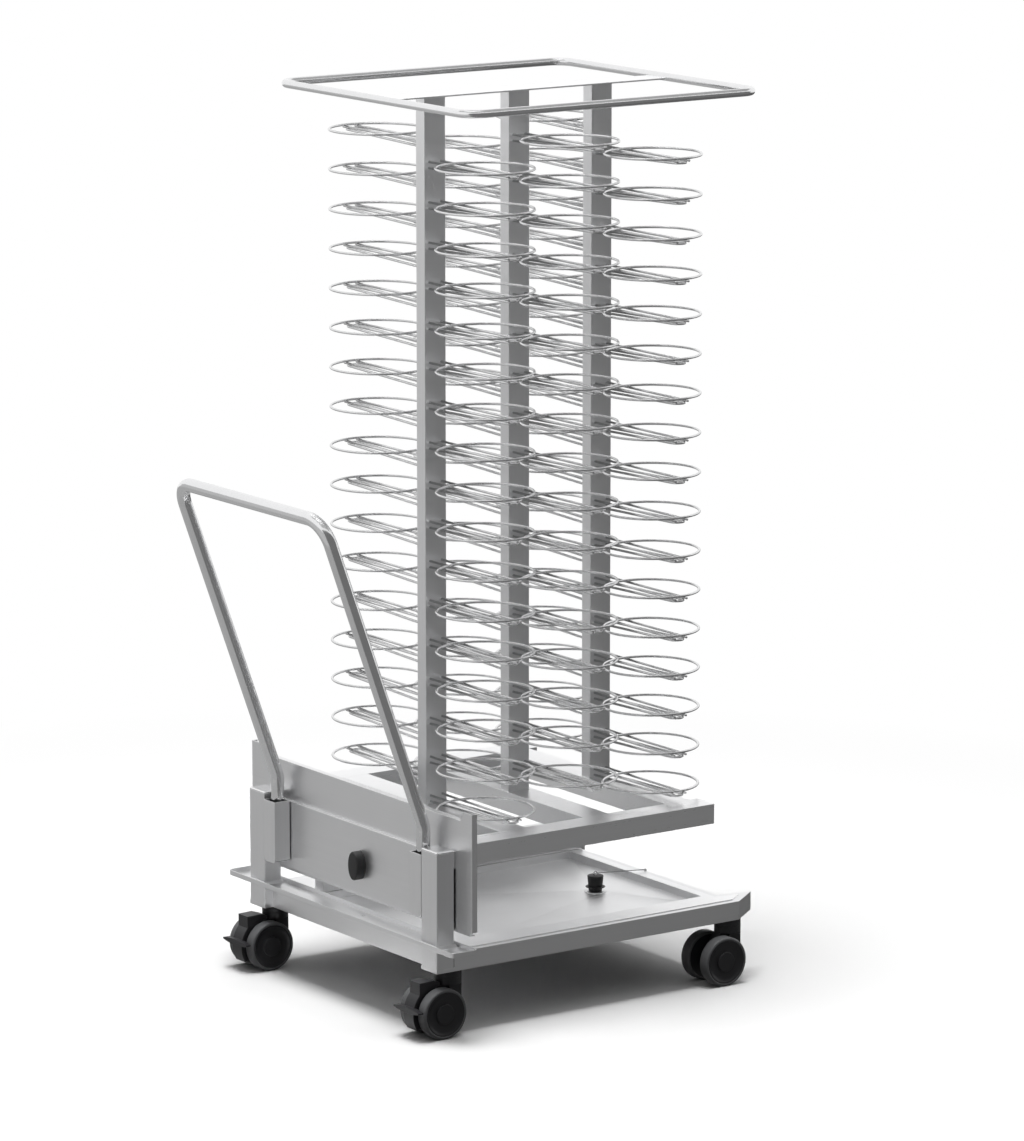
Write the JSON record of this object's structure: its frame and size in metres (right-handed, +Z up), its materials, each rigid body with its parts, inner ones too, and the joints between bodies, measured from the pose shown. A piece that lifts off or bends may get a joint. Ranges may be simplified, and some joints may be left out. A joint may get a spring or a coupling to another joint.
{
  "type": "plate rack trolley",
  "caption": "Wheeled stainless rack that holds plates on wire rings along both sides, with a drip pan and drain below, a slanting lift-out push handle and twin wheel casters.",
  "frame": {"origin": "on the floor under the middle of the overall length and width", "axes": "+Z up; +X runs along the trolley away from its push handle; +Y across it, away from the side with the lower front carriers"},
  "size_m": [1.0164, 0.808, 1.7945],
  "materials": {
    "satin_steel": "satin stainless steel with a fine straight grain",
    "bright_wire": "electropolished stainless wire",
    "axle_steel": "plain steel",
    "black_plastic": "fine textured black plastic",
    "black_rubber": "smooth black rubber",
    "grey_tyre": "smooth grey non-marking tread"
  },
  "bodies": {
    "trolley": {"base_frame": "satin_steel", "drip_pan": "satin_steel", "drain_fitting": "satin_steel", "lanyard": "bright_wire", "lanyard_clip": "bright_wire", "side_rail": "satin_steel", "gutter": "satin_steel", "post_near": "satin_steel", "post_far": "satin_steel", "post_caps": "satin_steel", "cross_panel": "satin_steel", "buffer": "black_rubber", "handle_pockets": "satin_steel", "end_plate": "satin_steel", "deck_beam_near": "satin_steel", "deck_beam_far": "satin_steel", "cross_member_front": "satin_steel", "cross_member_middle": "satin_steel", "cross_member_rear": "satin_steel", "upright_front": "satin_steel", "upright_middle": "satin_steel", "upright_rear": "satin_steel", "carriers_near_front": "bright_wire", "carriers_near_middle": "bright_wire", "carriers_near_rear": "bright_wire", "carriers_far_front": "bright_wire", "carriers_far_middle": "bright_wire", "carriers_far_rear": "bright_wire", "top_loop": "satin_steel", "top_strip": "satin_steel", "caster_collars": "black_plastic"},
    "handle": {"handle": "satin_steel"},
    "drain_plug": {"drain_plug": "black_rubber"},
    "swivel_front_near": {"front_near_housing": "black_plastic", "front_near_axle": "axle_steel"},
    "wheel_front_near_near": {"front_near_hub_near": "black_plastic", "front_near_tyre_near": "grey_tyre"},
    "wheel_front_near_far": {"front_near_hub_far": "black_plastic", "front_near_tyre_far": "grey_tyre"},
    "brake_front_near": {"front_near_brake": "black_plastic"},
    "swivel_front_far": {"front_far_housing": "black_plastic", "front_far_axle": "axle_steel"},
    "wheel_front_far_near": {"front_far_hub_near": "black_plastic", "front_far_tyre_near": "grey_tyre"},
    "wheel_front_far_far": {"front_far_hub_far": "black_plastic", "front_far_tyre_far": "grey_tyre"},
    "brake_front_far": {"front_far_brake": "black_plastic"},
    "swivel_rear_near": {"rear_near_housing": "black_plastic", "rear_near_axle": "axle_steel"},
    "wheel_rear_near_near": {"rear_near_hub_near": "black_plastic", "rear_near_tyre_near": "grey_tyre"},
    "wheel_rear_near_far": {"rear_near_hub_far": "black_plastic", "rear_near_tyre_far": "grey_tyre"},
    "swivel_rear_far": {"rear_far_housing": "black_plastic", "rear_far_axle": "axle_steel"},
    "wheel_rear_far_near": {"rear_far_hub_near": "black_plastic", "rear_far_tyre_near": "grey_tyre"},
    "wheel_rear_far_far": {"rear_far_hub_far": "black_plastic", "rear_far_tyre_far": "grey_tyre"}
  },
  "joints": [
    {"name": "handle_lift", "type": "slide", "parent": "trolley", "child": "handle", "axis": [0, 0, 1], "range_m": [0, 0.13]},
    {"name": "plug_lift", "type": "slide", "parent": "trolley", "child": "drain_plug", "axis": [0, 0, 1], "range_m": [0, 0.012], "deforming": ["lanyard"]},
    {"name": "swivel_front_near", "type": "hinge", "parent": "trolley", "child": "swivel_front_near", "pos_m": [-0.24575, -0.3095, 0.1], "axis": [0, 0, 1], "continuous": true},
    {"name": "spin_front_near_near", "type": "hinge", "parent": "swivel_front_near", "child": "wheel_front_near_near", "pos_m": [-0.27975, -0.3095, 0.05], "axis": [0, 1, 0], "continuous": true},
    {"name": "spin_front_near_far", "type": "hinge", "parent": "swivel_front_near", "child": "wheel_front_near_far", "pos_m": [-0.27975, -0.3095, 0.05], "axis": [0, 1, 0], "continuous": true},
    {"name": "brake_front_near", "type": "hinge", "parent": "swivel_front_near", "child": "brake_front_near", "pos_m": [-0.27975, -0.3095, 0.05], "axis": [0, -1, 0], "range_deg": [0, 14]},
    {"name": "swivel_front_far", "type": "hinge", "parent": "trolley", "child": "swivel_front_far", "pos_m": [-0.24575, 0.3095, 0.1], "axis": [0, 0, 1], "continuous": true},
    {"name": "spin_front_far_near", "type": "hinge", "parent": "swivel_front_far", "child": "wheel_front_far_near", "pos_m": [-0.27975, 0.3095, 0.05], "axis": [0, 1, 0], "continuous": true},
    {"name": "spin_front_far_far", "type": "hinge", "parent": "swivel_front_far", "child": "wheel_front_far_far", "pos_m": [-0.27975, 0.3095, 0.05], "axis": [0, 1, 0], "continuous": true},
    {"name": "brake_front_far", "type": "hinge", "parent": "swivel_front_far", "child": "brake_front_far", "pos_m": [-0.27975, 0.3095, 0.05], "axis": [0, -1, 0], "range_deg": [0, 14]},
    {"name": "swivel_rear_near", "type": "hinge", "parent": "trolley", "child": "swivel_rear_near", "pos_m": [0.43225, -0.3095, 0.1], "axis": [0, 0, 1], "continuous": true},
    {"name": "spin_rear_near_near", "type": "hinge", "parent": "swivel_rear_near", "child": "wheel_rear_near_near", "pos_m": [0.39825, -0.3095, 0.05], "axis": [0, 1, 0], "continuous": true},
    {"name": "spin_rear_near_far", "type": "hinge", "parent": "swivel_rear_near", "child": "wheel_rear_near_far", "pos_m": [0.39825, -0.3095, 0.05], "axis": [0, 1, 0], "continuous": true},
    {"name": "swivel_rear_far", "type": "hinge", "parent": "trolley", "child": "swivel_rear_far", "pos_m": [0.43225, 0.3095, 0.1], "axis": [0, 0, 1], "continuous": true},
    {"name": "spin_rear_far_near", "type": "hinge", "parent": "swivel_rear_far", "child": "wheel_rear_far_near", "pos_m": [0.39825, 0.3095, 0.05], "axis": [0, 1, 0], "continuous": true},
    {"name": "spin_rear_far_far", "type": "hinge", "parent": "swivel_rear_far", "child": "wheel_rear_far_far", "pos_m": [0.39825, 0.3095, 0.05], "axis": [0, 1, 0], "continuous": true}
  ]
}
